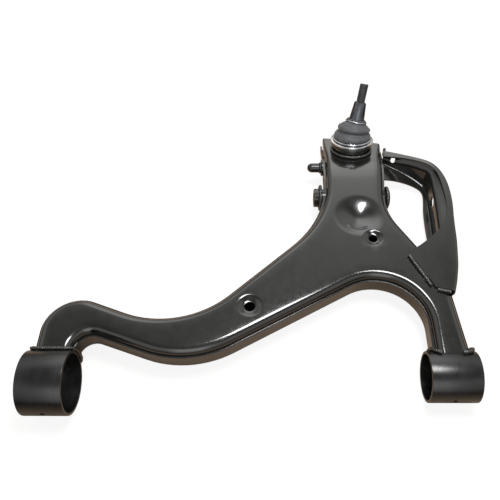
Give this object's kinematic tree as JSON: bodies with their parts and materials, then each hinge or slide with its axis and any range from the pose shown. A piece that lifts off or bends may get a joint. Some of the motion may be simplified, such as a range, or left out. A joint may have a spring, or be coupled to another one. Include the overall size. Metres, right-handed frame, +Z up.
{
  "type": "suspension control arm",
  "caption": "Lower suspension control arm of pressed steel shells with bush sleeves at both inner ends, a looped damper bracket and an angled ball joint under a rubber boot.",
  "frame": {"origin": "on the ground under the middle of the part's bounding box", "axes": "+Z up, +X from the rear bush sleeve to the front one, +Y outboard to the ball joint"},
  "size_m": [0.5898, 0.5128, 0.1352],
  "materials": {
    "black_paint": "gloss",
    "painted_weld": "gloss",
    "satin_black": "satin",
    "black_plastic": "semi-gloss",
    "plated_steel": "bright",
    "ground_steel": "machined",
    "grey_rubber": "matte",
    "seat_plastic": "moulded"
  },
  "bodies": {
    "arm": {"upper_shell": "black_paint", "lower_shell": "black_paint", "rear_bush_sleeve": "satin_black", "front_bush_sleeve": "satin_black", "damper_bracket": "black_paint", "damper_bolt_tube": "satin_black", "damper_weld_nut": "satin_black", "sensor_stud": "satin_black", "sensor_stud_cap": "black_plastic", "ball_joint_carrier": "satin_black", "ball_joint_housing": "plated_steel", "ball_seat": "seat_plastic", "ball_joint_cover": "plated_steel", "snap_ring": "ground_steel", "boot_lower_ring": "plated_steel", "weld_rear_sleeve": "painted_weld", "weld_front_sleeve_inner": "painted_weld", "weld_front_sleeve_outer": "painted_weld", "weld_gusset_seam": "painted_weld", "weld_gusset_end": "painted_weld", "weld_bracket_outer": "painted_weld", "weld_carrier": "painted_weld", "weld_nut": "painted_weld", "weld_tube": "painted_weld"},
    "boot": {"dust_boot": "grey_rubber"},
    "boot_collar": {"boot_upper_ring": "plated_steel"},
    "stud": {"ball_stud": "ground_steel"}
  },
  "joints": [
    {"name": "stud_swing", "type": "hinge", "parent": "arm", "child": "boot", "pos_m": [0.14994, 0.19874, 0.0543], "axis": [0, 0.342, 0.9397], "continuous": true},
    {"name": "stud_tilt", "type": "hinge", "parent": "boot", "child": "boot_collar", "pos_m": [0.14994, 0.19874, 0.0543], "axis": [-0.8192, 0.539, -0.1962], "range_deg": [-43, 9], "deforming": ["dust_boot"]},
    {"name": "stud_spin", "type": "hinge", "parent": "boot_collar", "child": "stud", "pos_m": [0.14994, 0.19874, 0.0543], "axis": [0.1677, 0.5521, 0.8167], "continuous": true}
  ]
}
